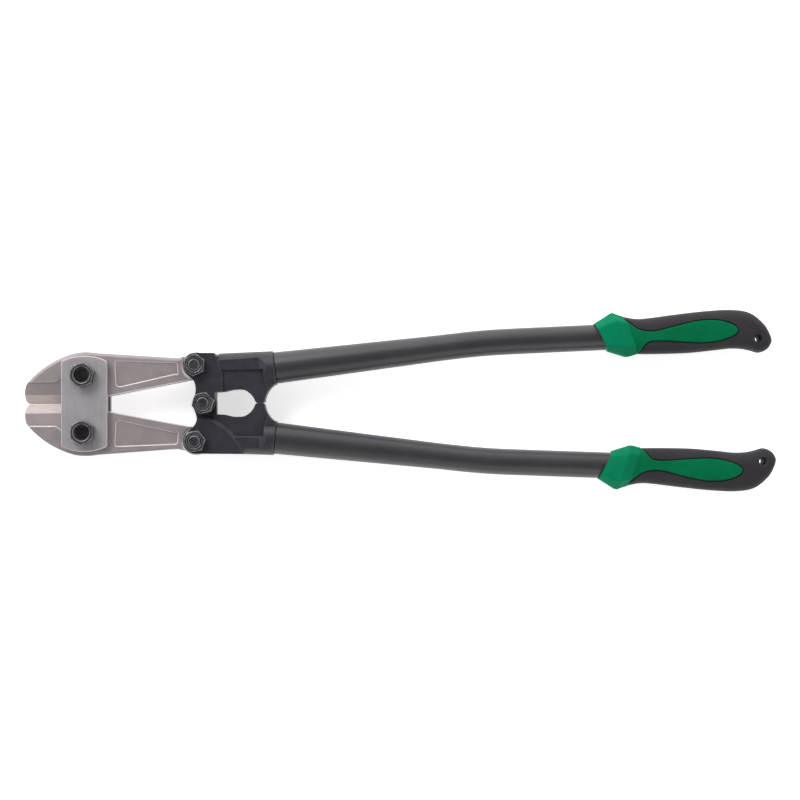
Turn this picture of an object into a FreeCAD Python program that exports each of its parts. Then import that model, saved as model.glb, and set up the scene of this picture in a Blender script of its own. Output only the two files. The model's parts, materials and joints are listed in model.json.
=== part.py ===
"""Compound-action bolt cutters, 24 inch class, closed and lying flat. Units are millimetres.

X runs along the tool from the jaws (-X) to the grips (+X), Y runs across it, and Z is up.
Every shape is drawn for the upper half (+Y) about the tool's mid-plane, where its own z is 0.
The lower half is a mirror copy across Y = 0. The tool rests on the heads of its blade bolts.
"""
import FreeCAD, Part
import math
import os

os.makedirs("parts", exist_ok=True)
V = FreeCAD.Vector

# ---- pivots of the linkage, upper half ----
blade_pivot = (-256.0, 23.3)
link_pivot = (-165.8, 30.9)
centre_pivot = (-158.9, 0.0)

# ---- layers, as distances from the mid-plane ----
blade_half = 6.25            # blade body
ear_half = 4.5               # spot-faced blade ear, and the lower forging's tang
face_gap = 0.1               # running gap between faces that slide on each other
plate_thickness = 6.0
fork_half = 11.0             # outside of a forging's fork
web_half = 8.6               # thin web of a forging
shoulder_half = 10.6         # thicker web beside the tube shoulder, and the flats on the barrel

# ---- fasteners ----
blade_bolt = {"radius": 6.0, "flats": 18.0, "head": 7.5, "nut": 10.0, "end": -2.0}
link_bolt = {"radius": 5.0, "flats": 16.0, "head": 6.4, "nut": 8.0, "end": 1.0}
running_gap = 0.05           # radial clearance of a pivot hole on its bolt
thread_gap = 0.02            # radial clearance of a nut on its bolt
nut_mouth = 1.0              # countersink of a nut's outer end
corner_cut = 0.085           # a hexagon's turned corners, as a share of its width
cut_slope = 0.55
shank_chamfer = 0.8
through = (-20.0, 20.0)      # heights of a hole that goes right through
slot_travel = 4.0            # how far the open pivot's slot reaches towards the mid-line
slot_half = 6.25             # half the slot's width
slot_offset = 0.15           # the slot's centre line, towards the handles

# ---- jaws ----
edge_gap = 0.1               # half the gap between the two cutting edges
bevel_width = 7.3            # cutting bevel, across the tool
bevel_half = 4.2             # half thickness where the bevel starts
relief_end = 18.0            # the step between the relief and the full thickness
relief_half = 5.3            # half thickness at the foot of that step
forging_draft = (0.9, 2.3)   # slope left by the dies along the blade's outer edge
panel_depth = 0.9            # recess in the blade's tail
panel_tilt = 0.6             # degrees, deeper towards the link pivot
spot_radius = 12.2           # spot face round a blade ear
ear_radius = 11.0            # blade ear
fork_radius = 10.0           # forging ear round a link pivot
centre_radius = 9.0          # forging ear round the centre pivot
step_slope = 2.0             # sloping step from the lower fork down to the web
tang_radius = 9.9            # lower forging's tang round the centre pivot
sweep_gap = 0.3              # room round a part that swings past another
stop_gap = 0.08              # half the gap between the closed handles' stops

# ---- head plates ----
plate_left, plate_right = -274.1, -236.8
plate_peak = 39.0            # top of the arched end
plate_side = 34.6            # height of the corner between the side and the arch
plate_corner = 3.6           # radius of that corner
plate_bevel = 0.7            # bevel round its outer face

# ---- tubes ----
tube_start = (-101.3, 28.6)  # where the tube meets its forging, on the tube's axis
tube_slope = 6.6             # degrees, from the forging to the bend
grip_slope = 2.3             # degrees, from the bend to the grip
flare_length = 135.0         # the tube tapers from its mouth over this length
mouth_radius = 12.9
tube_radius = 10.6
tube_wall = 2.2
straight_length = 151.0      # from the mouth to the bend
bend_radius = 540.0
tube_tail = 180.4            # from the bend to the end inside the grip
shank_length = 48.0          # forging's shank inside the tube
collar_radius = 14.0         # forging's shoulder beside the tube's mouth
collar_step = 0.4            # the shoulder eases by this much at its end
seam = 0.6                   # open gap between the shoulder and the tube's mouth
lower_extra = 2.56           # the lower tube and grip reach this much further back

# ---- grips ----
grip_half = 13.4
grip_round = 6.0             # radius along the grip's edges
hang_hole = (290.6, 49.6)
hang_radius = 2.6
inlay_floor = 11.9           # the inlay's pocket in the grip
inlay_top = 13.7

mid_plane = blade_half + face_gap + plate_thickness + blade_bolt["head"]


def outline(start, steps):
    """Closed flat face: a step of two numbers is a line, and a step of four is an arc."""
    edges, here = [], V(start[0], start[1], 0)
    for step in list(steps) + [start]:
        there = V(step[-2], step[-1], 0)
        if there.distanceToPoint(here) < 1e-6:
            continue
        if len(step) == 4:
            edges.append(Part.Arc(here, V(step[0], step[1], 0), there).toShape())
        else:
            edges.append(Part.LineSegment(here, there).toShape())
        here = there
    return Part.Face(Part.Wire(edges))


def slab(face, low, high):
    """The face pulled up from z = low to z = high."""
    raised = face.copy()
    raised.translate(V(0, 0, low))
    return raised.extrude(V(0, 0, high - low))


def disc(centre, radius, low, high):
    return Part.makeCylinder(radius, high - low, V(centre[0], centre[1], low))


def both_faces(shape):
    """The shape and its mirror copy across the mid-plane."""
    return [shape, shape.mirror(V(0, 0, 0), V(0, 0, 1))]


def ring_point(centre, radius, degrees):
    angle = math.radians(degrees)
    return (centre[0] + radius * math.cos(angle), centre[1] + radius * math.sin(angle))


def mirrored(shape):
    return shape.mirror(V(0, 0, 0), V(0, 1, 0))


def rim_edges(shape, level):
    """Edges that lie flat at z = level."""
    return [e for e in shape.Edges if e.BoundBox.ZLength < 1e-4 and abs(e.BoundBox.ZMin - level) < 1e-4]


def direction(degrees):
    return V(math.cos(math.radians(degrees)), math.sin(math.radians(degrees)), 0)


def along_tube(distance):
    """Point on the straight axis of the tube, at a distance from its mouth."""
    return V(*tube_start, 0) + direction(tube_slope) * distance


# ---------------------------------------------------------------- fasteners
def hexagon(centre, flats, low, high, turn, turned_end):
    """Hexagonal prism, with its corners turned off to a cone on the end at z = turned_end."""
    corner = flats / math.sqrt(3)
    points = [V(*ring_point(centre, corner, turn + 60 * i), 0) for i in range(7)]
    prism = slab(Part.Face(Part.makePolygon(points)), low, high)
    blank = disc(centre, corner, low, high)
    cut = corner_cut * flats
    return prism.common(blank.makeChamfer(cut * cut_slope, cut, rim_edges(blank, turned_end)))


def bolt(centre, size, grip_length, turn):
    """Hexagon bolt with its head below: the parts that it holds reach +-grip_length."""
    low = -grip_length - size["head"]
    head = hexagon(centre, size["flats"], low, -grip_length, turn, low)
    end = grip_length + size["nut"] + size["end"]
    shank = disc(centre, size["radius"], -grip_length - 1.0, end)
    return head.fuse(shank.makeChamfer(shank_chamfer, rim_edges(shank, end))).removeSplitter()


def nut(centre, size, grip_length, turn):
    low, high = grip_length, grip_length + size["nut"]
    body = hexagon(centre, size["flats"], low, high, turn, high)
    bore = disc(centre, size["radius"] + thread_gap, low - 1, high + 1)
    mouth_low = V(centre[0], centre[1], high - nut_mouth + thread_gap)
    mouth = Part.makeCone(size["radius"], size["radius"] + nut_mouth, nut_mouth, mouth_low)
    return body.cut(bore).cut(mouth)


# ---------------------------------------------------------------- cutting head
def head_plate():
    """Side plate in front of the blades, with arched ends and two bolt holes."""
    middle = (plate_left + plate_right) / 2
    low = blade_half + face_gap
    high = low + plate_thickness
    plate = slab(outline((plate_left, plate_side), [
        (middle, plate_peak, plate_right, plate_side),
        (plate_right, -plate_side),
        (middle, -plate_peak, plate_left, -plate_side)]), low, high)
    corners = [e for e in plate.Edges if e.BoundBox.ZLength > 1]
    plate = plate.makeFillet(plate_corner, corners)
    plate = plate.makeChamfer(plate_bevel, rim_edges(plate, high))
    for side in (1, -1):
        centre = (blade_pivot[0], side * blade_pivot[1])
        plate = plate.cut(disc(centre, blade_bolt["radius"] + running_gap, *through))
    return plate


def blade_blank():
    """Outline of a blade at full thickness, from the nose to the link ear."""
    ear_low = ring_point(link_pivot, ear_radius, -79)
    ear_high = ring_point(link_pivot, ear_radius, 128)
    face = outline((-301.6, edge_gap), [
        (-303.9, 1.6),
        (-305.0, 8.6, -303.5, 16.2),
        (-287.4, 30.9, -264.2, 41.5),
        (-255.6, 42.35, -246.0, 41.5),
        (-183.0, 37.2),
        (-178.0, 37.6, *ear_high),
        (*ring_point(link_pivot, ear_radius, 25), *ear_low),
        (-236.0, 6.3),
        (-240.0, 5.2, -244.0, 3.6),
        (-256.5, edge_gap)])
    blank = slab(face, -blade_half, blade_half)
    # The forging draft along the outer edge, from the nose to the tail.
    outer = [e for e in blank.Edges if e.BoundBox.ZLength < 1e-4 and e.CenterOfMass.y > 14
             and e.BoundBox.YMin > 15.5 and e.BoundBox.XMax < -180 and e.BoundBox.YMax > 37]
    return blank.makeChamfer(*forging_draft, outer)


def sloped_cut(near, far, low, high, x_to):
    """Prism from the nose to x_to, above a face that rises from low at Y near to high at Y far."""
    corners = [V(-310, near, low), V(-310, far, high), V(-310, far, 10), V(-310, near - 4, 10),
               V(-310, near - 4, low)]
    return Part.Face(Part.makePolygon(corners + corners[:1])).extrude(V(x_to + 310, 0, 0))


def jaw_cuts():
    """Cutting bevel of one jaw, and the stepped relief beside it, on its front face."""
    slope = (relief_half - bevel_half) / (relief_end - bevel_width)
    relief = sloped_cut(0, relief_end + 8, bevel_half - slope * bevel_width, relief_half + 8 * slope, -266)
    reach = outline((-312, -4), [
        (-312, relief_end), (-281.6, relief_end), (-279.4, relief_end + 0.3, -277.6, relief_end + 1.4),
        (-272.0, relief_end + 5.6), (-266.0, relief_end + 5.6), (-266, -4)])
    return [
        relief.common(slab(reach, 0, 10)),
        sloped_cut(edge_gap, bevel_width, 0.25, bevel_half, -262)]


def name_panel():
    """Shallow blank recess in the blade's tail, deeper towards the link pivot."""
    face = outline((-229.5, 34.7), [
        (-183.8, 33.1), (-181.4, 32.5, -180.4, 30.4), (-180.1, 25.2), (-180.7, 23.7, -182.5, 23.8),
        (-226.0, 13.9), (-228.6, 14.0, -230.6, 15.6), (-231.4, 32.7), (-231.0, 34.1, -229.5, 34.7)])
    floor = blade_half - panel_depth
    pocket = slab(face, floor, blade_half + 3)
    pocket.rotate(V(-181, 0, floor), V(0, 1, 0), panel_tilt)
    return pocket


def pivot_slot():
    """The open pivot's hole: a short slot towards the mid-line, hidden between the head plates."""
    x = blade_pivot[0] + slot_offset
    y = blade_pivot[1]
    face = outline((x + slot_half, y), [
        (x, y + slot_half, x - slot_half, y),
        (x - slot_half, y - slot_travel),
        (x, y - slot_travel - slot_half, x + slot_half, y - slot_travel)])
    return slab(face, *through)


def blade(slotted):
    """Blade with its jaw, tail panel and spot-faced link ear; the open pivot's hole is a slot."""
    shape = blade_blank()
    spot = disc(link_pivot, spot_radius, ear_half, blade_half + 1)
    for cutter in jaw_cuts() + [name_panel(), spot]:
        for side in both_faces(cutter):
            shape = shape.cut(side)
    pivot_hole = disc(blade_pivot, blade_bolt["radius"] + running_gap, *through)
    if slotted:
        pivot_hole = pivot_slot()
    shape = shape.cut(disc(link_pivot, link_bolt["radius"] + running_gap, *through))
    return shape.cut(pivot_hole)


# ---------------------------------------------------------------- handle forgings
def tube_shoulder():
    """Round barrel that the tube butts against, with the shank that goes inside the tube."""
    level, along = V(1, 0, 0), direction(tube_slope)
    rings = [
        Part.Wire(Part.makeCircle(10.4, V(-151.5, 28.2, 0), level)),
        Part.Wire(Part.makeCircle(12.6, V(-146.0, 28.2, 0), level)),
        Part.Wire(Part.makeCircle(collar_radius, along_tube(-0.8), along)),
        Part.Wire(Part.makeCircle(collar_radius - collar_step, along_tube(0), along))]
    barrel = Part.makeLoft(rings, True, True)
    fade = (mouth_radius - tube_radius) / flare_length
    bore = mouth_radius - tube_wall - running_gap
    inset = 4.0
    shank = Part.makeCone(
        bore + inset * fade, bore - shank_length * fade, shank_length + inset, along_tube(-inset), along)
    return barrel.fuse(shank)


def web():
    """Thin web below the barrel, down to the stop bump on the mid-line."""
    face = outline((-151.0, 38.0), [
        (-103.0, 38.0), (-100.3, 15.7),
        (-107.4, 8.6, -109.7, 1.6),
        (-110.6, 0.45, -112.2, stop_gap), (-115.2, stop_gap), (-116.5, 0.4, -117.3, 1.5),
        (-120.8, 7.0, -127.0, 10.9),
        (-134.8, 10.9, -142.0, 9.3),
        (-151.0, 8.9)])
    return slab(face, -web_half, web_half)


def shoulder_web():
    """Thicker web between the panel and the tube shoulder."""
    face = outline((-110.4, 30.0), [
        (-109.6, 20.0, -107.2, 11.0),
        (-104.2, 13.6, -100.5, 15.6),
        (-103.0, 38.0), (-110.4, 38.0)])
    return slab(face, -shoulder_half, shoulder_half)


def panel_cuts():
    """Blank recess in the web's front face, and the flat above it on the barrel."""
    panel = outline((-160.0, 27.0), [
        (-112.4, 27.6), (-110.9, 27.2, -110.3, 25.8), (-109.6, 19.0, -107.3, 11.2),
        (-104.0, -3.0), (-160.0, -3.0)])
    flat = [V(-160, 5, shoulder_half), V(-114, 5, shoulder_half), V(-106, 5, 15), V(-160, 5, 15)]
    flat_cut = Part.Face(Part.makePolygon(flat + flat[:1])).extrude(V(0, 45, 0))
    return [slab(panel, web_half, 20), flat_cut]


def handle_root():
    """What both forgings share: barrel, shank, web, panel and stop bump."""
    shape = tube_shoulder().fuse([web(), shoulder_web()])
    for cutter in panel_cuts():
        for side in both_faces(cutter):
            shape = shape.cut(side)
    return shape


def fork_block():
    """Upper forging's fork plates, round the link pivot and the centre pivot."""
    link_low = ring_point(link_pivot, fork_radius, -120)
    link_high = ring_point(link_pivot, fork_radius, 90)
    centre_left = ring_point(centre_pivot, centre_radius, 155)
    face = outline(link_high, [
        (-150.2, 40.7), (-147.3, 35.2), (-146.4, 28.5), (-143.8, 26.0), (-143.8, 9.2), (-149.7, 8.9),
        ring_point(centre_pivot, centre_radius, 0),
        (*ring_point(centre_pivot, centre_radius, -102), *centre_left),
        (-165.3, 12.2, -166.9, 18.4),
        link_low,
        (*ring_point(link_pivot, fork_radius, 165), *link_high)])
    return slab(face, -fork_half, fork_half)


def lower_fork_block():
    """Lower forging's fork plates, round its link pivot only, drawn in the upper half."""
    link_low = ring_point(link_pivot, fork_radius, -120)
    link_high = ring_point(link_pivot, fork_radius, 90)
    face = outline(link_high, [
        (-127.0, 41.4), (-127.4, 36.6), (-129.2, 32.6, -132.4, 29.0),
        (-148.0, 14.9, -164.6, 10.4),
        (-165.0, 15.0, -166.9, 18.4),
        link_low,
        (*ring_point(link_pivot, fork_radius, 165), *link_high)])
    block = slab(face, -fork_half, fork_half)
    step = [e for e in block.Edges if e.BoundBox.ZLength < 1e-4 and e.BoundBox.XMax < -127
            and e.BoundBox.XMin > -164.7 and e.BoundBox.YMax < 37 and e.BoundBox.XLength > 2]
    return block.makeChamfer(step_slope, step)


def blade_room(reach):
    """Room for a blade's ear between the fork plates."""
    half = ear_half + face_gap
    swing = spot_radius + sweep_gap
    corner = V(link_pivot[0] - reach, link_pivot[1] - swing, -half)
    mouth = Part.makeBox(reach, 2 * swing, 2 * half, corner)
    return disc(link_pivot, swing, -half, half).fuse(mouth)


def pivot_holes(shape):
    """The forging bored for its link bolt and for the centre bolt."""
    for pivot in (link_pivot, centre_pivot):
        shape = shape.cut(disc(pivot, link_bolt["radius"] + running_gap, *through))
    return shape


def upper_forging():
    """Forging whose fork holds the blade's ear and the other forging's tang."""
    shape = handle_root().fuse(fork_block())
    half = ear_half + face_gap
    tang_room = disc(centre_pivot, tang_radius + sweep_gap, -half, half)
    left_room = Part.makeBox(30, 45, 2 * half, V(-186, -12, -half))
    shape = shape.cut(blade_room(20)).cut(tang_room).cut(left_room)
    return pivot_holes(shape).removeSplitter()


def tang():
    """Flat tongue of the lower forging that turns in the upper forging's fork."""
    face = outline(ring_point(centre_pivot, tang_radius, 0), [
        (ring_point(centre_pivot, tang_radius, 0)[0], 12.0),
        (-146.0, 24.0), (-158.0, 17.0), (-165.2, 13.0),
        (-166.0, 8.5, *ring_point(centre_pivot, tang_radius, 150)),
        (*ring_point(centre_pivot, tang_radius, -105), *ring_point(centre_pivot, tang_radius, 0))])
    return slab(face, -ear_half, ear_half)


def lower_forging():
    """Forging whose fork holds the blade's ear, and whose tang sits in the upper fork."""
    shape = handle_root().fuse(lower_fork_block())
    room = disc(centre_pivot, centre_radius + 1.3, ear_half, 30)
    for side in both_faces(room):
        shape = shape.cut(side)
    shape = shape.cut(blade_room(20)).fuse(tang())
    return mirrored(pivot_holes(shape).removeSplitter())


# ---------------------------------------------------------------- tubes
def tube_solid(mouth, body, start, tail):
    """Tapered run, bend and straight tail of a given radius, from start to the tail's end."""
    axis = direction(tube_slope)
    taper = Part.makeCone(mouth, body, flare_length - start, along_tube(start), axis)
    run = Part.makeCylinder(body, straight_length - flare_length, along_tube(flare_length), axis)
    turn = tube_slope - grip_slope
    bend_start = along_tube(straight_length)
    side = direction(tube_slope - 90)
    hub = bend_start + side * bend_radius
    ring = Part.Face(Part.Wire(Part.makeCircle(body, bend_start, axis)))
    bend = ring.revolve(hub, V(0, 0, -1), turn)
    tail_start = hub - direction(grip_slope - 90) * bend_radius
    rest = Part.makeCylinder(body, tail, tail_start, direction(grip_slope))
    return taper.fuse([run, bend, rest]).removeSplitter()


def tube(extra):
    """Handle tube: flared over the forging's shank, bent once, straight inside the grip."""
    outer = tube_solid(mouth_radius, tube_radius, seam, tube_tail + extra)
    inner = tube_solid(mouth_radius - tube_wall, tube_radius - tube_wall, 0, tube_tail + extra + 1)
    return outer.cut(inner)


def tube_room():
    """Bore for the tube in its grip and guard, ending just past the tube's end."""
    return tube_solid(mouth_radius, tube_radius + running_gap, 0, tube_tail + 0.4)


# ---------------------------------------------------------------- grips
def octagon(top, bottom, half_thickness):
    """Eight-sided section in the upright plane through two points of the plan."""
    middle = (V(*top, 0) + V(*bottom, 0)) * 0.5
    reach = (V(*top, 0) - V(*bottom, 0)) * 0.5
    over = [(1, 0.42), (0.62, 1), (-0.62, 1), (-1, 0.42)]
    corners = over + [(-a, -b) for a, b in over]
    points = [middle + reach * a + V(0, 0, b * half_thickness) for a, b in corners]
    return Part.makePolygon(points + points[:1])


def inlay():
    """Neck and teardrop of the guard, as a flat inlay on one face of the grip."""
    face = outline((186.0, 62.0), [
        (194.0, 57.6, 203.0, 56.1), (222.0, 59.4, 236.0, 63.9), (250.0, 66.5, 264.4, 64.4),
        (271.4, 61.6, 273.4, 57.4), (268.0, 51.4, 257.0, 48.4), (246.0, 47.2, 234.0, 47.7),
        (203.6, 48.4), (198.6, 46.5, 195.6, 41.5), (191.0, 42.0)])
    return slab(face, inlay_floor, inlay_top)


def guard_body():
    """Faceted bolster between the tube and the grip."""
    return Part.makeLoft([
        octagon((158.8, 62.6), (169.8, 40.6), 12.6),
        octagon((172.6, 72.1), (185.1, 35.7), 17.4),
        octagon((182.2, 68.9), (193.5, 38.0), 14.4)], True, True)


def guard():
    """Faceted guard with its necks and teardrop inlays on both faces."""
    body = guard_body()
    for side in both_faces(inlay()):
        body = body.fuse(side)
    return body.cut(tube_room()).removeSplitter()


def grip():
    """Moulded grip with a swelling back, a hooked end and a hanging hole."""
    contour = [
        (180.0, 69.2), (193.0, 66.9), (203.0, 67.5), (228.0, 70.7), (250.0, 73.0), (270.0, 74.0),
        (285.0, 71.6), (296.0, 63.0), (301.4, 53.5), (302.2, 47.5), (299.6, 41.6), (293.6, 38.8),
        (286.0, 40.2), (274.0, 41.6), (256.0, 40.0), (236.5, 38.4), (215.0, 38.0), (190.0, 38.3)]
    curve = Part.BSplineCurve()
    curve.interpolate([V(*point, 0) for point in contour])
    front_edge = Part.LineSegment(V(*contour[-1], 0), V(*contour[0], 0)).toShape()
    body = slab(Part.Face(Part.Wire([curve.toShape(), front_edge])), -grip_half, grip_half)
    rims = [e for e in body.Edges if e.BoundBox.ZLength < 1e-4 and e.BoundBox.XLength > 60]
    body = body.makeFillet(grip_round, rims)
    body = body.cut(guard_body()).cut(tube_room())
    for side in both_faces(inlay()):
        body = body.cut(side)
    return body.cut(disc(hang_hole, hang_radius, *through))


def moved_back(shape, distance):
    """The shape slid along the tube's straight tail."""
    moved = shape.copy()
    moved.translate(direction(grip_slope) * distance)
    return moved


# ---------------------------------------------------------------- the assembly
def build():
    plate_stack = blade_half + face_gap + plate_thickness
    lower_blade_pivot = (blade_pivot[0], -blade_pivot[1])
    lower_link_pivot = (link_pivot[0], -link_pivot[1])
    front_plate = head_plate()
    return {
        "front_head_plate": front_plate,
        "rear_head_plate": front_plate.mirror(V(0, 0, 0), V(0, 0, 1)),
        "upper_blade": blade(True),
        "lower_blade": mirrored(blade(False)),
        "upper_blade_bolt": bolt(blade_pivot, blade_bolt, plate_stack, 12),
        "lower_blade_bolt": bolt(lower_blade_pivot, blade_bolt, plate_stack, 35),
        "upper_blade_nut": nut(blade_pivot, blade_bolt, plate_stack, 18),
        "lower_blade_nut": nut(lower_blade_pivot, blade_bolt, plate_stack, 30),
        "upper_link_bolt": bolt(link_pivot, link_bolt, fork_half, 5),
        "lower_link_bolt": bolt(lower_link_pivot, link_bolt, fork_half, 22),
        "centre_bolt": bolt(centre_pivot, link_bolt, fork_half, 40),
        "upper_link_nut": nut(link_pivot, link_bolt, fork_half, 24),
        "lower_link_nut": nut(lower_link_pivot, link_bolt, fork_half, 8),
        "centre_nut": nut(centre_pivot, link_bolt, fork_half, 14),
        "upper_handle_forging": upper_forging(),
        "lower_handle_forging": lower_forging(),
        "upper_handle_tube": tube(0),
        "lower_handle_tube": mirrored(tube(lower_extra)),
        "upper_grip": grip(),
        "lower_grip": mirrored(moved_back(grip(), lower_extra)),
        "upper_grip_guard": guard(),
        "lower_grip_guard": mirrored(moved_back(guard(), lower_extra))}


for name, shape in build().items():
    shape.translate(V(0, 0, mid_plane))
    if len(shape.Solids) == 1:
        shape = shape.Solids[0]
    shape.exportStep("parts/" + name + ".step")
    print(f"{name:22s} solids {len(shape.Solids)} valid {shape.isValid()} volume {shape.Volume:9.1f}")
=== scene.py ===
"""Looks of the compound-action bolt cutters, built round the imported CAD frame. Units are metres."""
import bmesh
import bpy
import json
import math
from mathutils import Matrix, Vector


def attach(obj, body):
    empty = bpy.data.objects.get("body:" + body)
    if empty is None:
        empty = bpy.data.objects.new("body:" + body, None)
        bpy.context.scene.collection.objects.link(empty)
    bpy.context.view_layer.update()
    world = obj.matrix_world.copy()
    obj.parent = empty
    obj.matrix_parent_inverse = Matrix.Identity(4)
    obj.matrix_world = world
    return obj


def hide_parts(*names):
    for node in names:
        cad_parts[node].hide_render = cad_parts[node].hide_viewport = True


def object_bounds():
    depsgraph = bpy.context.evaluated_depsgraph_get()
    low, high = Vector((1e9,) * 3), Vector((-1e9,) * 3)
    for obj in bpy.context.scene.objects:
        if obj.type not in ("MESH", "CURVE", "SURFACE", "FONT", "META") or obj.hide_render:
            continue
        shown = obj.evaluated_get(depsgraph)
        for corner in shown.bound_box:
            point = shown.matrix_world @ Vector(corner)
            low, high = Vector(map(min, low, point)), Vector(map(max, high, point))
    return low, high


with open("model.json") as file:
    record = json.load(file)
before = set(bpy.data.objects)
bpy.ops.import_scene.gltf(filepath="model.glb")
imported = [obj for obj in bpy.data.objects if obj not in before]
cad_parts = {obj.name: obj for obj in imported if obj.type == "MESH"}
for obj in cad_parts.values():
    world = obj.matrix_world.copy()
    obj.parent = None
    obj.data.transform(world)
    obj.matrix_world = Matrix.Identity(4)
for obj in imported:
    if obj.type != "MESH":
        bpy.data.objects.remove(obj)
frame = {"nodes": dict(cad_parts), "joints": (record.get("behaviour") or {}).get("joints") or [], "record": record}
cad_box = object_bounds()
nodes = frame["nodes"]
MM = 0.001

# ---- places taken from the frame ----
pivots = {joint["name"]: joint["pos_m"] for joint in frame["joints"]}
mid_z = pivots["handle_pivot"][2]
object_length = cad_box[1].x - cad_box[0].x

# ---- where the finish of a blade changes and where highlights are painted on it, in millimetres on the closed tool ----
bevel_width = 7.3            # ground cutting bevel, across the tool
bevel_end = -263.0           # it is ground up to here, ahead of the head plates
tail_start = -236.5          # the tail comes out from between the head plates here
tail_slope = 0.191           # its inner edge is a line in plan: its slope, and its Y at X = 0
tail_offset = 51.38
highlight_band_width = 0.85         # painted highlight band along that edge
blade_half = 6.25            # half thickness of a blade
ear_half = 4.5               # and of its spot-faced ear
ring_radius = 12.35          # turned ring round a link pivot, painted bright as a highlight
blur = 0.15                  # half the width over which these fade


# ---------------------------------------------------------------- node helpers
class Material:
    """A node material with short calls for the nodes that the surfaces share."""

    def __init__(self, name, **settings):
        self.material = bpy.data.materials.new(name)
        self.material.use_nodes = True
        self.tree = self.material.node_tree
        self.shader = self.tree.nodes["Principled BSDF"]
        for socket, value in settings.items():
            self.shader.inputs[socket.replace("_", " ")].default_value = value
        self.coords = self.tree.nodes.new("ShaderNodeTexCoord").outputs["Object"]

    def link(self, source, target):
        self.tree.links.new(source, target)

    def feed(self, socket, source):
        self.link(source, self.shader.inputs[socket])

    def put(self, node, socket, value):
        """Sets an input to a value, or links it when the value is another node's output."""
        if isinstance(value, bpy.types.NodeSocket):
            self.link(value, node.inputs[socket])
        elif value is not None:
            node.inputs[socket].default_value = value

    def noise(self, scale, detail=3.0, roughness=0.55, stretch=(1, 1, 1)):
        """Noise from 0 to 1 that is fixed to the part, finer for a larger scale."""
        mapping = self.tree.nodes.new("ShaderNodeMapping")
        mapping.inputs["Scale"].default_value = stretch
        self.link(self.coords, mapping.inputs["Vector"])
        node = self.tree.nodes.new("ShaderNodeTexNoise")
        node.inputs["Scale"].default_value = scale
        node.inputs["Detail"].default_value = detail
        node.inputs["Roughness"].default_value = roughness
        self.link(mapping.outputs["Vector"], node.inputs["Vector"])
        return node.outputs["Fac"]

    def ramp(self, source, low, high, start=0.0, end=1.0):
        """Maps a value from low..high onto start..end, held at both ends."""
        node = self.tree.nodes.new("ShaderNodeMapRange")
        self.put(node, "Value", source)
        node.inputs["From Min"].default_value = low
        node.inputs["From Max"].default_value = high
        node.inputs["To Min"].default_value = start
        node.inputs["To Max"].default_value = end
        return node.outputs["Result"]

    def math(self, operation, a, b=None):
        node = self.tree.nodes.new("ShaderNodeMath")
        node.operation = operation
        self.put(node, 0, a)
        self.put(node, 1, b)
        return node.outputs[0]

    def axis(self, name):
        """One coordinate of the surface point, in metres, on the closed tool."""
        node = self.tree.nodes.new("ShaderNodeSeparateXYZ")
        self.link(self.coords, node.inputs[0])
        return node.outputs[name]

    def mix(self, factor, a, b):
        """A colour between a and b."""
        node = self.tree.nodes.new("ShaderNodeMix")
        node.data_type = "RGBA"
        self.put(node, 0, factor)
        self.put(node, 6, a)
        self.put(node, 7, b)
        return node.outputs[2]

    def edges(self, radius):
        """1 on sharp edges and 0 on open faces, from the angle to the rounded normal."""
        bevel = self.tree.nodes.new("ShaderNodeBevel")
        bevel.samples = 6
        bevel.inputs["Radius"].default_value = radius
        geometry = self.tree.nodes.new("ShaderNodeNewGeometry")
        dot = self.tree.nodes.new("ShaderNodeVectorMath")
        dot.operation = "DOT_PRODUCT"
        self.link(bevel.outputs["Normal"], dot.inputs[0])
        self.link(geometry.outputs["Normal"], dot.inputs[1])
        return self.ramp(dot.outputs["Value"], 0.995, 0.90), bevel.outputs["Normal"]

    def plan_distance(self, place):
        """Distance in plan from a place or from its mirror copy across either axis, whichever is nearer."""
        flat = self.tree.nodes.new("ShaderNodeVectorMath")
        flat.operation = "MULTIPLY"
        flat.inputs[1].default_value = (1, 1, 0)
        self.link(self.coords, flat.inputs[0])
        folded = self.tree.nodes.new("ShaderNodeVectorMath")
        folded.operation = "ABSOLUTE"
        self.link(flat.outputs[0], folded.inputs[0])
        gap = self.tree.nodes.new("ShaderNodeVectorMath")
        gap.operation = "DISTANCE"
        gap.inputs[1].default_value = (abs(place[0]), abs(place[1]), 0)
        self.link(folded.outputs[0], gap.inputs[0])
        return gap.outputs["Value"]

    def bump(self, height, distance, strength, normal=None):
        """Fine relief, on top of a rounded normal where one is given."""
        node = self.tree.nodes.new("ShaderNodeBump")
        node.inputs["Strength"].default_value = strength
        node.inputs["Distance"].default_value = distance
        self.link(height, node.inputs["Height"])
        if normal is not None:
            self.link(normal, node.inputs["Normal"])
        return node.outputs["Normal"]


def grey(level):
    return (level, level, level, 1.0)


# Near-white steel for the painted highlights on the blades.
highlight_steel = (0.88, 0.85, 0.84, 1)


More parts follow.
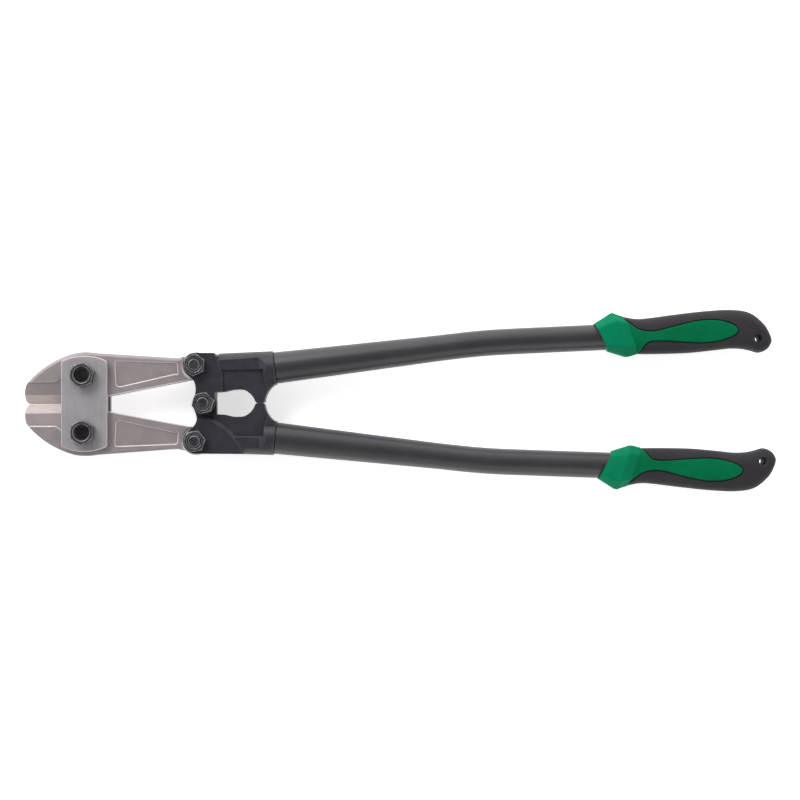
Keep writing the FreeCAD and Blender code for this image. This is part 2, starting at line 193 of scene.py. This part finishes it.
# ---------------------------------------------------------------- materials
def blade_steel():
    """Bead-blasted forged steel, with ground bevels on the jaws and turned rings at the link pivots; painted
    highlights run along its sharp edges and the tail's inner edge, and make the rings bright.
    """
    m = Material("blade_steel_surface", Metallic=0.35, Roughness=0.5)
    edge, rounded = m.edges(1.0 * MM)
    grain = m.noise(2600, 4)
    cloud = m.noise(60, 3)
    along = m.axis("X")
    across = m.math("ABSOLUTE", m.axis("Y"))
    height = m.math("ABSOLUTE", m.math("SUBTRACT", m.axis("Z"), mid_z))
    base = m.mix(m.ramp(cloud, 0.35, 0.65), (0.250, 0.213, 0.222, 1), (0.305, 0.262, 0.270, 1))
    base = m.mix(m.math("MULTIPLY", m.ramp(grain, 0.4, 0.7), 0.35), base, (0.41, 0.36, 0.362, 1))
    # The ground bevels lie within the cutting width of the mid-line, ahead of the head plates.
    near_edge = m.ramp(across, (bevel_width + blur) * MM, (bevel_width - blur) * MM)
    ahead = m.ramp(along, (bevel_end + 0.5) * MM, (bevel_end - 0.5) * MM)
    ground = m.math("MULTIPLY", near_edge, ahead)
    scratches = m.noise(900, 2, 0.6, (0.12, 1, 1))
    bright = m.mix(m.ramp(scratches, 0.3, 0.7), (0.50, 0.425, 0.405, 1), (0.60, 0.535, 0.51, 1))
    base = m.mix(ground, base, bright)
    # Painted highlight along every sharp edge.
    base = m.mix(m.math("MULTIPLY", edge, 0.9), base, highlight_steel)
    # A painted highlight band runs along the tail's inner edge, from the head plates to the link ear.
    inner_edge = m.math("ADD", m.math("MULTIPLY", along, tail_slope), tail_offset * MM)
    from_edge = m.math("SUBTRACT", across, inner_edge)
    near_inner = m.ramp(from_edge, (highlight_band_width + blur) * MM, (highlight_band_width - blur) * MM)
    behind = m.ramp(along, (tail_start - 0.5) * MM, (tail_start + 0.5) * MM)
    on_face = m.ramp(height, (blade_half - 0.75) * MM, (blade_half - 0.45) * MM)
    highlight_band = m.math("MULTIPLY", near_inner, m.math("MULTIPLY", behind, on_face))
    base = m.mix(m.math("MULTIPLY", highlight_band, 0.5), base, highlight_steel)
    # The spot faces round a link pivot, on both sides of its ear, are turned, and a painted highlight makes them a
    # bright ring.
    from_pivot = m.plan_distance(pivots["upper_link_pivot"])
    in_ring = m.ramp(from_pivot, (ring_radius + blur) * MM, (ring_radius - blur) * MM)
    turned = m.math("MULTIPLY", in_ring, m.ramp(height, (ear_half - 0.25) * MM, (ear_half - 0.1) * MM))
    base = m.mix(turned, base, (0.90, 0.88, 0.88, 1))
    m.feed("Base Color", base)
    m.feed("Roughness", m.math("ADD", m.ramp(grain, 0.3, 0.7, 0.44, 0.58), m.math("MULTIPLY", ground, 0.2)))
    relief = m.math("ADD", grain, m.math("MULTIPLY", scratches, 0.4))
    m.feed("Normal", m.bump(relief, 0.05 * MM, 0.7, rounded))
    return m.material


def plate_steel():
    """Satin rolled plate: smoother and cooler than the blades, with a painted highlight along its bevelled rim."""
    m = Material("plate_steel_surface", Metallic=0.4, Roughness=0.45)
    edge, rounded = m.edges(0.5 * MM)
    grain = m.noise(1900, 3)
    streaks = m.noise(500, 3, 0.6, (1, 0.06, 1))
    cloud = m.noise(45, 2)
    base = m.mix(m.ramp(cloud, 0.35, 0.65), (0.335, 0.313, 0.332, 1), (0.385, 0.362, 0.380, 1))
    base = m.mix(m.math("MULTIPLY", m.ramp(streaks, 0.35, 0.7), 0.3), base, (0.46, 0.435, 0.447, 1))
    # Painted highlight along the plate's bevelled rim.
    base = m.mix(m.math("MULTIPLY", edge, 0.8), base, (0.80, 0.78, 0.79, 1))
    m.feed("Base Color", base)
    m.feed("Roughness", m.ramp(streaks, 0.3, 0.7, 0.40, 0.52))
    m.feed("Normal", m.bump(m.math("ADD", grain, streaks), 0.02 * MM, 0.6, rounded))
    return m.material


def forging_paint():
    """Dark slate paint over a forged surface, a little worn and with a painted highlight along the edges."""
    m = Material("forging_paint_surface", Roughness=0.42, Specular_IOR_Level=0.4)
    edge, rounded = m.edges(0.8 * MM)
    cast = m.noise(700, 4)
    lumps = m.noise(130, 3)
    base = m.mix(m.ramp(lumps, 0.35, 0.65), (0.019, 0.018, 0.025, 1), (0.027, 0.0255, 0.034, 1))
    # Paler along the edges: a little paint wear and a painted highlight.
    base = m.mix(m.math("MULTIPLY", edge, 0.5), base, (0.10, 0.095, 0.11, 1))
    m.feed("Base Color", base)
    m.feed("Roughness", m.ramp(cast, 0.3, 0.7, 0.36, 0.50))
    relief = m.math("ADD", m.math("MULTIPLY", cast, 0.4), lumps)
    m.feed("Normal", m.bump(relief, 0.16 * MM, 0.6, rounded))
    return m.material


def tube_paint():
    """Satin enamel with a faint orange-peel texture."""
    m = Material("tube_paint_surface", Roughness=0.36, Specular_IOR_Level=0.6)
    edge, rounded = m.edges(0.5 * MM)
    peel = m.noise(420, 2)
    cloud = m.noise(25, 2)
    base = m.mix(m.ramp(cloud, 0.35, 0.65), (0.024, 0.0225, 0.029, 1), (0.030, 0.028, 0.035, 1))
    # Painted highlight along the tube's edges.
    base = m.mix(m.math("MULTIPLY", edge, 0.5), base, (0.14, 0.135, 0.15, 1))
    m.feed("Base Color", base)
    m.feed("Roughness", m.ramp(peel, 0.3, 0.7, 0.32, 0.40))
    m.feed("Normal", m.bump(peel, 0.03 * MM, 0.5, rounded))
    return m.material


def black_oxide(name, dark, light, rubbed_and_highlight):
    """Oiled black oxide, worn through in places along the corners, where a painted highlight also brightens them.
    """
    m = Material(name)
    edge, rounded = m.edges(0.65 * MM)
    grain = m.noise(1500, 3)
    cloud = m.noise(180, 3)
    wear = m.ramp(m.noise(160, 2), 0.36, 0.56, 0.35, 1.0)
    base = m.mix(m.ramp(cloud, 0.35, 0.65), dark, light)
    # Corners worn through in places and brightened as a painted highlight.
    bare_and_highlight = m.math("MULTIPLY", edge, wear)
    base = m.mix(bare_and_highlight, base, rubbed_and_highlight)
    m.feed("Metallic", m.ramp(bare_and_highlight, 0.0, 1.0, 0.75, 0.4))
    m.feed("Base Color", base)
    m.feed("Roughness", m.ramp(grain, 0.3, 0.7, 0.30, 0.44))
    m.feed("Normal", m.bump(grain, 0.03 * MM, 0.6, rounded))
    return m.material


def moulded_rubber(name, dark, light, worn, shine):
    """Matt moulded rubber with a fine spark-eroded grain."""
    m = Material(name, Roughness=0.62, Specular_IOR_Level=shine)
    grain = m.noise(1700, 3)
    cloud = m.noise(50, 3)
    base = m.mix(m.ramp(cloud, 0.35, 0.65), dark, light)
    base = m.mix(m.math("MULTIPLY", m.ramp(grain, 0.55, 0.75), 0.25), base, worn)
    m.feed("Base Color", base)
    m.feed("Roughness", m.ramp(grain, 0.3, 0.7, 0.54, 0.70))
    m.feed("Normal", m.bump(grain, 0.06 * MM, 0.7))
    return m.material


surfaces = {
    "blade_steel": blade_steel(),
    "plate_steel": plate_steel(),
    "forging_paint": forging_paint(),
    "tube_paint": tube_paint(),
    "black_fastener": black_oxide(
        "black_nut_surface", (0.050, 0.046, 0.052, 1), (0.085, 0.078, 0.086, 1), grey(0.85)),
    "grip_rubber": moulded_rubber(
        "grip_rubber_surface", (0.024, 0.022, 0.027, 1), (0.031, 0.028, 0.033, 1),
        (0.055, 0.05, 0.06, 1), 0.2),
    "guard_rubber": moulded_rubber(
        "guard_rubber_surface", (0.0, 0.165, 0.074, 1), (0.0, 0.195, 0.088, 1),
        (0.0, 0.26, 0.12, 1), 0.06)}
inlay_surface = moulded_rubber(
    "inlay_rubber_surface", (0.0, 0.122, 0.045, 1), (0.0, 0.145, 0.055, 1), (0.0, 0.19, 0.08, 1), 0.06)
# Blade bolts: darker than the nuts, as painted shade for their recessed ends.
shade_darkened_bolt = black_oxide("dark_bolt_surface", (0.014, 0.013, 0.014, 1), (0.026, 0.024, 0.026, 1), grey(0.25))
link_bolt = black_oxide("link_bolt_surface", (0.045, 0.042, 0.050, 1), (0.085, 0.080, 0.092, 1), grey(0.6))

for part in frame["record"]["subparts"]:
    slots = nodes[part["node"]].data.materials
    slots.clear()
    # The blade bolts get the surface with painted shade.
    if part["node"].endswith("_blade_bolt"):
        slots.append(shade_darkened_bolt)
    elif part["node"].endswith("_bolt"):
        slots.append(link_bolt)
    else:
        slots.append(surfaces[part["material_slot"]])


# ---------------------------------------------------------------- grips and guards
# Outlines of the upper grip and its inlay in plan, from the guard to the tip, in millimetres.
grip_back = [
    (176.0, 70.2), (184.0, 68.3), (193.0, 66.9), (203.0, 67.5), (228.0, 70.7), (250.0, 73.0),
    (270.0, 73.9), (285.0, 71.4), (296.0, 62.8), (301.2, 53.5), (302.1, 47.6)]
grip_belly = [
    (188.0, 38.5), (200.0, 38.2), (215.0, 38.3), (235.0, 38.9), (255.0, 40.8), (269.0, 42.3),
    (279.0, 42.0), (286.0, 40.6), (293.2, 38.9), (299.4, 41.8), (302.1, 47.6)]
inlay_back = [
    (170.0, 75.0), (180.4, 67.6), (187.8, 61.8), (194.1, 57.7), (201.5, 56.1), (209.0, 56.6), (219.5, 59.1),
    (230.1, 61.9), (240.7, 64.2), (249.0, 65.0), (257.6, 64.8), (265.4, 63.1), (271.6, 60.3), (274.6, 56.9)]
inlay_belly = [
    (186.0, 33.5), (192.6, 38.2), (196.0, 41.0), (198.6, 45.0), (202.6, 47.8), (209.0, 48.5), (219.5, 48.2),
    (235.4, 47.2), (246.0, 46.9), (256.0, 47.8), (265.6, 50.3), (271.8, 53.2), (274.6, 56.9)]
grip_half = 13.3             # half thickness of the grip
squareness = 3.0             # 2 is an ellipse, higher is squarer
tip_round = 7.0              # the grip thins over this length to its tip
tip_thinning = 5.5
grip_stations = 230
station_crowding = 1.5       # above 1, stations crowd towards the tip
least_width = 0.01           # a station narrower than this is square to the tool
side_points = 16             # points from the grip's edge to the inlay's pocket
side_crowding = 1.3          # above 1, they crowd towards the edge
pocket_points = 8            # points across the pocket's floor
pocket_limit = 0.985         # the inlay and pocket stay within this share of the half width
groove_width = 0.9           # gap between the inlay and the rim of its pocket
groove_depth = 1.3
groove_wall = 0.25           # lean of the pocket's walls, in plan
inlay_points = 16            # steps across an inlay
inlay_proud = 0.35           # the inlay stands this far above the grip
inlay_full = 4.0             # where it is narrower than this, it stands less proud
inlay_least = 0.2            # and it starts and ends where it is this wide
inlay_depth = 1.6
inlay_edge = 0.9             # rounding along the inlay's edges: width, drop and curve
inlay_drop = 1.2
inlay_curve = 2.2

# Sections of the guard: back and belly ends in plan, and half the thickness.
guard_front = (158.4, 63.0, 169.9, 40.4, 12.6)
guard_crease = (172.6, 72.0, 185.1, 35.8, 17.3)
guard_waist = (177.8, 70.1, 189.6, 36.9, 15.0)
guard_rear = (182.2, 68.9, 193.5, 38.1, 13.75)
guard_end = (184.6, 65.6, 194.0, 41.4, 11.6)
guard_facets = [(1, 0.42), (0.62, 1), (-0.62, 1), (-1, 0.42)]    # half of its eight corners
guard_rounding = (2.0, 6)    # setback and steps of the rounding of its corners
crease_rounding = (2.2, 5)   # and between its sections
front_rings = (0.9, 0.35, 0.12)    # rings across the front face, from the bore outwards
tube_entry = Vector((164.3, 52.12))
tube_slope = math.radians(2.3)
bore_radius = 10.8
bore_depth = 5.0
lower_shift = 2.56           # the lower grip sits this much further back along its tube

# The drill for a hanging hole: height above the mid-plane, and radius, narrowing from the grip's face.
drill_profile = [(20.0, 4.3), (13.4, 4.3), (12.6, 3.4), (11.6, 2.8), (10.2, 2.6)]
drill_sides = 40
crease_angle = 0.6           # edges sharper than this, in radians, are shaded sharp


def smooth_line(points, steps=16):
    """Closely spaced points of a smooth curve through the given ones."""
    padded = [points[0]] + points + [points[-1]]
    line = []
    for a, b, c, d in zip(padded, padded[1:], padded[2:], padded[3:]):
        for step in range(steps):
            t = step / steps
            weights = (
                -0.5 * t + t ** 2 - 0.5 * t ** 3, 1 - 2.5 * t ** 2 + 1.5 * t ** 3,
                0.5 * t + 2 * t ** 2 - 1.5 * t ** 3, -0.5 * t ** 2 + 0.5 * t ** 3)
            line.append(sum((Vector(p) * w for p, w in zip((a, b, c, d), weights)), Vector((0, 0))))
    return line + [Vector(points[-1])]


def at_fraction(line, fraction):
    """Point at a fraction of the line's length."""
    lengths = [(b - a).length for a, b in zip(line, line[1:])]
    target = fraction * sum(lengths)
    for a, b, length in zip(line, line[1:], lengths):
        if target <= length and length > 0:
            return a.lerp(b, target / length)
        target -= length
    return line[-1].copy()


def widened(line, distance):
    """The line moved sideways, to the left of its direction."""
    moved = []
    for i, point in enumerate(line):
        tangent = (line[min(i + 1, len(line) - 1)] - line[max(i - 1, 0)]).normalized()
        moved.append(point + Vector((-tangent.y, tangent.x)) * distance)
    return moved


def crossing(line, centre, across, half_width):
    """Where the line meets a station, as a fraction of the station's half width."""
    normal = Vector((-across.y, across.x))
    for a, b in zip(line, line[1:]):
        side_a, side_b = (a - centre).dot(normal), (b - centre).dot(normal)
        if side_a * side_b <= 0 and side_a != side_b:
            return (a.lerp(b, side_a / (side_a - side_b)) - centre).dot(across) / half_width
    return None


def grip_sections():
    """Stations along the grip: place, size, and where the inlay and its pocket cross it."""
    back, belly = smooth_line(grip_back), smooth_line(grip_belly)
    inlay = smooth_line(inlay_back), smooth_line(inlay_belly)
    pocket = widened(inlay[0], groove_width), widened(inlay[1], -groove_width)
    sections = []
    for i in range(grip_stations + 1):
        fraction = 1 - (1 - i / grip_stations) ** station_crowding
        high, low = at_fraction(back, fraction), at_fraction(belly, fraction)
        centre = (high + low) / 2
        half_width = max((high - low).length / 2, least_width / 10)
        across = (high - low) / (2 * half_width) if half_width > least_width else Vector((0, 1))
        near_tip = max(0.0, 1 - (back[-1].x - centre.x) / tip_round)
        half = grip_half - tip_thinning * (1 - math.sqrt(1 - near_tip ** 2))
        edges = {"inlay": None, "pocket": None}
        for name, lines in (("inlay", inlay), ("pocket", pocket)):
            found = [crossing(line, centre, across, half_width) for line in lines]
            if None not in found and found[0] > found[1]:
                edges[name] = (min(found[0], pocket_limit), max(found[1], -pocket_limit))
        sections.append({"centre": centre, "across": across, "width": half_width, "half": half, **edges})
    return sections


def skin(fraction, half):
    """Height of the grip's face at a fraction of its half width."""
    return half * (1 - min(abs(fraction), 1.0) ** squareness) ** (1 / squareness)


def on_section(section, fraction, height):
    """Point of a station at a fraction of its half width and a height above the mid-plane."""
    place = section["centre"] + section["across"] * (section["width"] * fraction)
    return Vector((place.x, place.y, height + mid_z / MM))


def side_fractions(limit, start):
    """Fractions round the section's curve from one edge (start 0 or pi) to just short of a limit."""
    goal = math.acos(math.copysign(abs(limit) ** (squareness / 2), limit))
    turns = [start + (goal - start) * (k / side_points) ** side_crowding for k in range(side_points)]
    return [math.copysign(abs(math.cos(turn)) ** (2 / squareness), math.cos(turn)) for turn in turns]


def grip_ring(section, resting):
    """One closed section of the grip, with the inlay's pocket sunk into both faces."""
    high, low = section["pocket"] or (resting, resting)
    depth = groove_depth if section["pocket"] else 0.0
    wall = groove_wall / section["width"] if section["pocket"] else 0.0
    span = low - high + 2 * wall
    face = [(f, 0.0) for f in side_fractions(high, 0.0)] + [(high, 0.0)]
    face += [(high - wall + span * k / pocket_points, depth) for k in range(pocket_points + 1)]
    face += [(low, 0.0)] + [(f, 0.0) for f in reversed(side_fractions(low, math.pi))]
    top = [(f, max(skin(f, section["half"]) - sunk, 0.0)) for f, sunk in face]
    around = top + [(f, -z) for f, z in reversed(top[1:-1])]
    return [on_section(section, f, z) for f, z in around]


def inlay_ring(section, side):
    """One closed section of an inlay: a crowned top with rounded edges over a flat underside."""
    high, low = section["inlay"]
    width = (high - low) * section["width"]
    crown = inlay_proud * min(1.0, width / inlay_full)
    top, under = [], []
    for k in range(inlay_points + 1):
        step = (1 - math.cos(math.pi * k / inlay_points)) / 2
        f = high + (low - high) * step
        edge = min(step, 1 - step) * width
        lift = crown - inlay_drop * max(0.0, 1 - edge / inlay_edge) ** inlay_curve
        top.append(on_section(section, f, side * (skin(f, section["half"]) + lift)))
        under.append(on_section(section, f, side * (skin(f, section["half"]) - inlay_depth)))
    return top + under[::-1]


def skinned(rings):
    """Vertices and faces of a closed skin over rings of equal length."""
    count = len(rings[0])
    faces = [
        (r * count + i, r * count + (i + 1) % count, (r + 1) * count + (i + 1) % count, (r + 1) * count + i)
        for r in range(len(rings) - 1) for i in range(count)]
    faces.append(tuple(reversed(range(count))))
    faces.append(tuple(range((len(rings) - 1) * count, len(rings) * count)))
    return [tuple(v * MM) for ring in rings for v in ring], faces


def mesh_piece(name, vertices, faces):
    """A tidy closed mesh object, smooth but for its sharp edges."""
    work = bmesh.new()
    corners = [work.verts.new(v) for v in vertices]
    for face in faces:
        work.faces.new([corners[i] for i in face])
    bmesh.ops.remove_doubles(work, verts=work.verts, dist=0.003 * MM)
    bmesh.ops.dissolve_degenerate(work, edges=work.edges, dist=0.002 * MM)
    bmesh.ops.recalc_face_normals(work, faces=work.faces)
    for face in work.faces:
        face.smooth = True
    for edge in work.edges:
        if edge.is_manifold and edge.calc_face_angle() > crease_angle:
            edge.smooth = False
    mesh = bpy.data.meshes.new(name)
    work.to_mesh(mesh)
    work.free()
    piece = bpy.data.objects.new(name, mesh)
    bpy.context.scene.collection.objects.link(piece)
    return piece


def rounded(points, setback, steps, closed):
    """The points with each corner turned into a small curve that starts a setback away from it."""
    count = len(points)
    line = []
    for i, point in enumerate(points):
        if not closed and i in (0, count - 1):
            line.append(point)
            continue
        before, after = points[i - 1] - point, points[(i + 1) % count] - point
        start = point + before * min(0.45, setback / before.length)
        end = point + after * min(0.45, setback / after.length)
        for k in range(steps + 1):
            t = k / steps
            line.append(start * (1 - t) ** 2 + point * (2 * t * (1 - t)) + end * t ** 2)
    return line


def guard_ring(section):
    """Eight-sided section with rounded corners, upright over a line of the plan."""
    high, low, half = Vector(section[0:2]), Vector(section[2:4]), section[4]
    corners = []
    for a, b in guard_facets + [(-a, -b) for a, b in guard_facets]:
        place = (high + low) / 2 + (high - low) / 2 * a
        corners.append(Vector((place.x, place.y, b * half + mid_z / MM)))
    return rounded(corners, *guard_rounding, closed=True)


def bore_ring(front, depth):
    """The tube's bore, matched point by point to the guard's front ring."""
    axis = Vector((math.cos(tube_slope), math.sin(tube_slope)))
    across = Vector((-axis.y, axis.x))
    plane = (Vector(guard_front[0:2]) - Vector(guard_front[2:4])).normalized()
    normal = Vector((plane.y, -plane.x))
    ring = []
    for point in front:
        sideways = (Vector(point[0:2]) - tube_entry).dot(across)
        angle = math.atan2(point.z - mid_z / MM, sideways)
        offset = across * (bore_radius * math.cos(angle))
        along = (Vector(guard_front[0:2]) - tube_entry - offset).dot(normal) / axis.dot(normal)
        place = tube_entry + offset + axis * (along + depth)
        ring.append(Vector((place.x, place.y, bore_radius * math.sin(angle) + mid_z / MM)))
    return ring


def guard_mesh():
    """Faceted bolster with the tube's bore in its front and its rear end inside the grip."""
    keys = [Vector(key) for key in (guard_front, guard_crease, guard_waist, guard_rear, guard_end)]
    rings = [guard_ring(key) for key in rounded(keys, *crease_rounding, closed=False)]
    mouth = bore_ring(rings[0], 0.0)
    front = [[edge.lerp(inner, share) for edge, inner in zip(rings[0], mouth)] for share in front_rings]
    return skinned([bore_ring(rings[0], bore_depth), mouth] + front + rings)


def lower_half(vertices):
    """The same shape on the lower handle: further back along the tube, and mirrored."""
    shift = Vector((math.cos(tube_slope), math.sin(tube_slope))) * (lower_shift * MM)
    return [(x + shift.x, -y - shift.y, z) for x, y, z in vertices]


def bored(grip, centre):
    """Drills the hanging hole, with an eased mouth on each face."""
    turns = [math.tau * k / drill_sides for k in range(drill_sides)]
    rings = []
    for z, radius in drill_profile + [(-z, radius) for z, radius in reversed(drill_profile)]:
        rings.append([Vector((
            centre[0] + radius * math.cos(turn), centre[1] + radius * math.sin(turn),
            z + mid_z / MM)) for turn in turns])
    drill = mesh_piece("drill", *skinned(rings))
    cut = grip.modifiers.new("hole", "BOOLEAN")
    cut.operation = "DIFFERENCE"
    cut.solver = "EXACT"
    cut.object = drill
    graph = bpy.context.evaluated_depsgraph_get()
    drilled = bpy.data.meshes.new_from_object(grip.evaluated_get(graph))
    grip.modifiers.clear()
    grip.data = drilled
    bpy.data.objects.remove(drill)


def fit(piece, body, surface, node):
    """Gives a piece its body, slot and surface, and hides the CAD node that it stands for, if any."""
    piece.data.materials.clear()
    piece.data.materials.append(surface)
    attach(piece, body)
    if node:
        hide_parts(node)


def grips_and_guards():
    """The moulded grip, guard and two inlays of each handle."""
    sections = grip_sections()
    resting = [sum(section["inlay"]) / 2 for section in sections if section["inlay"]][-1]
    shapes = {
        "grip": skinned([grip_ring(section, resting) for section in sections]),
        "grip_guard": guard_mesh()}
    crossed = [
        section for section in sections
        if section["inlay"] and (section["inlay"][0] - section["inlay"][1]) * section["width"] > inlay_least]
    for name, side in (("inlay_front", 1), ("inlay_back", -1)):
        shapes[name] = skinned([inlay_ring(section, side) for section in crossed])
    places = {mount["name"]: mount["pos_m"] for mount in frame["record"]["mounts"]}
    for half in ("upper", "lower"):
        for name, (vertices, faces) in shapes.items():
            node = half + "_" + name
            placed = vertices if half == "upper" else lower_half(vertices)
            piece = mesh_piece(node + "_moulding", placed, faces)
            if name == "grip":
                bored(piece, [c / MM for c in places[half + "_hanging_hole"]])
            slot = "grip_rubber" if name == "grip" else "guard_rubber"
            surface = inlay_surface if "inlay" in name else surfaces[slot]
            fit(piece, half + "_handle", surface, node if node in nodes else None)


grips_and_guards()


# ---------------------------------------------------------------- camera, floor and light
def camera_over_the_tool():
    """Looks down on the tool, leaning a little from the lower handle's side and turned a little."""
    distance = 1.5
    view_width = 0.6524
    lean = math.radians(1.2)
    turn = math.radians(-0.32)
    middle = 0.0019          # where the view's centre falls across the tool
    data = bpy.data.cameras.new("camera")
    data.sensor_width = 36.0
    data.lens = data.sensor_width * distance / view_width
    camera = bpy.data.objects.new("camera", data)
    camera.location = (0.0, middle - distance * math.sin(lean), mid_z + distance * math.cos(lean))
    camera.rotation_euler = (lean, 0.0, turn)
    bpy.context.scene.collection.objects.link(camera)
    bpy.context.scene.camera = camera


def area_light(name, place, size, power):
    """A rectangular white light that points at the origin."""
    data = bpy.data.lights.new(name, "AREA")
    data.shape = "RECTANGLE"
    data.size, data.size_y = size
    data.energy = power
    light = bpy.data.objects.new(name, data)
    light.location = place
    light.rotation_euler = (-Vector(place)).to_track_quat("-Z", "Y").to_euler()
    bpy.context.scene.collection.objects.link(light)


def floor():
    """A wide pale floor that gives off a little light of its own, so that its shadows stay soft."""
    mesh = bpy.data.meshes.new("floor")
    reach = 6 * object_length
    corners = [(-reach, -reach, 0), (reach, -reach, 0), (reach, reach, 0), (-reach, reach, 0)]
    mesh.from_pydata(corners, [], [(0, 1, 2, 3)])
    piece = bpy.data.objects.new("floor", mesh)
    bpy.context.scene.collection.objects.link(piece)
    m = Material("pale_floor", Roughness=0.9, Specular_IOR_Level=0.1, Emission_Strength=0.62)
    pale = m.mix(m.ramp(m.noise(6, 2), 0.3, 0.7), grey(0.93), grey(0.96))
    m.feed("Base Color", pale)
    m.feed("Emission Color", pale)
    mesh.materials.append(m.material)


def studio():
    """A white room round a lit table: bright at the sides, most of all at the back, and dim overhead."""
    world = bpy.data.worlds.new("studio")
    bpy.context.scene.world = world
    world.use_nodes = True
    tree = world.node_tree
    coords = tree.nodes.new("ShaderNodeTexCoord").outputs["Generated"]
    split = tree.nodes.new("ShaderNodeSeparateXYZ")
    tree.links.new(coords, split.inputs[0])
    strength = tree.nodes.new("ShaderNodeMath")
    strength.operation = "MULTIPLY"
    # How bright the room is along each axis of the view direction: from, to, and the strength at each.
    ranges = (("Z", 0.30, 0.90, 1.5, 0.25), ("Y", -0.8, 0.8, 0.65, 1.3))
    for slot, (axis, low, high, start, end) in enumerate(ranges):
        ramp = tree.nodes.new("ShaderNodeMapRange")
        ramp.inputs["From Min"].default_value = low
        ramp.inputs["From Max"].default_value = high
        ramp.inputs["To Min"].default_value = start
        ramp.inputs["To Max"].default_value = end
        tree.links.new(split.outputs[axis], ramp.inputs["Value"])
        tree.links.new(ramp.outputs["Result"], strength.inputs[slot])
    background = tree.nodes["Background"]
    background.inputs["Color"].default_value = (1, 1, 1, 1)
    tree.links.new(strength.outputs[0], background.inputs["Strength"])
    area_light("key_light", (-0.9, 1.2, 1.2), (1.2, 1.0), 20)
    area_light("fill_light", (0.7, -1.2, 1.0), (1.4, 0.9), 4)
    bpy.context.scene.view_settings.view_transform = "Standard"


camera_over_the_tool()
floor()
studio()
